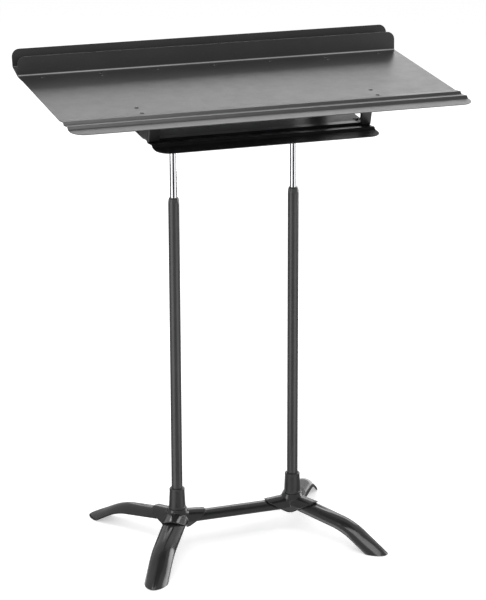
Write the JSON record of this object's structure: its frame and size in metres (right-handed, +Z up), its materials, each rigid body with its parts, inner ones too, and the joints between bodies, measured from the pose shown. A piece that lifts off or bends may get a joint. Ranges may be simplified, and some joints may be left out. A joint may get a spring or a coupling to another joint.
{
  "type": "music stand",
  "caption": "Wide conductor's music stand: double-lipped desk with a storage shelf below, on two telescopic columns and a joined pair of three-armed bases.",
  "frame": {"origin": "on the floor, under the middle of the stand's bounding box", "axes": "+X across the desk to the right, as seen from its ribbed edge; +Y from the ribbed edge towards the lips; +Z up"},
  "size_m": [0.762, 0.451, 0.9675],
  "materials": {
    "desk_paint": "satin",
    "base_paint": "gloss",
    "tube_paint": "semi-gloss",
    "sleeve_plastic": "satin",
    "bush_plastic": "matte",
    "glide_rubber": "matte",
    "chrome": "polished",
    "rivet_paint": "satin",
    "steel": "zinc plated"
  },
  "bodies": {
    "base": {"left_hub": "base_paint", "right_hub": "base_paint", "left_rear_leg": "base_paint", "left_front_leg": "base_paint", "right_front_leg": "base_paint", "right_rear_leg": "base_paint", "crossbar": "base_paint", "left_clamp_plate": "steel", "right_clamp_plate": "steel", "column_bolts": "steel", "column_washers": "steel", "foot_glides": "glide_rubber", "left_sleeve": "sleeve_plastic", "right_sleeve": "sleeve_plastic", "left_outer_tube": "tube_paint", "right_outer_tube": "tube_paint", "left_tube_plug": "steel", "right_tube_plug": "steel", "left_collar": "tube_paint", "right_collar": "tube_paint", "left_clutch": "bush_plastic", "right_clutch": "bush_plastic"},
    "lift": {"left_inner_tube": "chrome", "right_inner_tube": "chrome", "left_guide_bush": "bush_plastic", "right_guide_bush": "bush_plastic", "left_neck": "steel", "right_neck": "steel"},
    "desk": {"left_clevis": "desk_paint", "right_clevis": "desk_paint", "pivot_bolts": "steel", "pivot_nuts": "steel", "friction_washers": "bush_plastic", "desk_panel": "desk_paint", "outer_lip": "desk_paint", "storage_shelf": "desk_paint", "left_front_bracket": "desk_paint", "right_front_bracket": "desk_paint", "left_rear_bracket": "desk_paint", "right_rear_bracket": "desk_paint", "lip_rivets": "rivet_paint", "bracket_rivets": "rivet_paint", "shelf_rivets": "rivet_paint", "clevis_rivets": "rivet_paint"}
  },
  "joints": [
    {"name": "height_slide", "type": "slide", "parent": "base", "child": "lift", "axis": [0, 0, 1], "range_m": [-0.09, 0.32]},
    {"name": "desk_tilt", "type": "hinge", "parent": "lift", "child": "desk", "pos_m": [0, 0.0195, 0.835], "axis": [-1, 0, 0], "range_deg": [-10, 75]}
  ]
}
